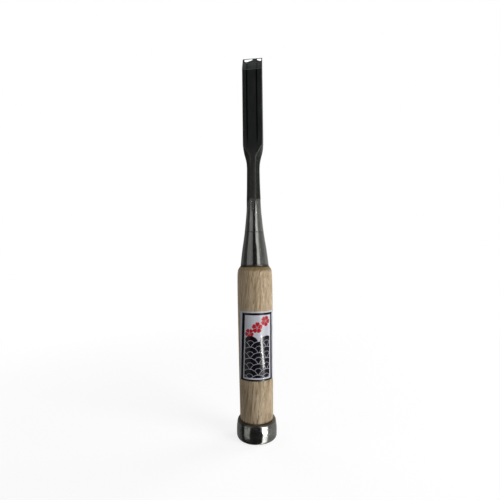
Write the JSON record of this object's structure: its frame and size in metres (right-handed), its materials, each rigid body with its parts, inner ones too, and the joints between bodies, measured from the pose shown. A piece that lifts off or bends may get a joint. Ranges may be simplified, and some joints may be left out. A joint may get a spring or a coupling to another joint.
{
  "type": "struck bench chisel",
  "caption": "Bevel-edged bench chisel for striking with a hammer: laminated steel blade and neck, conical ferrule, turned oak handle and steel striking hoop.",
  "frame": {"origin": "centre of the struck end of the handle, which is also the plane the tool stands on", "axes": "+Z along the tool's axis towards the cutting edge; -Y is the bevelled front of the blade, +Y its flat back; +X across the blade"},
  "size_m": [0.0242, 0.0242, 0.2305],
  "materials": {
    "blade_iron": "black forge scale on the blade and upper neck, ground bright towards the ferrule",
    "hard_steel": "fine ground on the back, mirror polished at the edge",
    "ferrule_steel": "lengthwise ground, satin",
    "oak": "turned white oak, bare, fine open pores",
    "hoop_steel": "hammered, dark and glossy",
    "label_paper": "glossy printed paper"
  },
  "bodies": {
    "chisel": {"blade_body": "blade_iron", "cutting_steel": "hard_steel", "ferrule": "ferrule_steel", "handle": "oak", "label": "label_paper"},
    "striking_hoop": {"hoop": "hoop_steel"}
  },
  "joints": [
    {"name": "hoop_set", "type": "slide", "parent": "chisel", "child": "striking_hoop", "axis": [0, 0, 1], "range_m": [0, 0.003]}
  ]
}
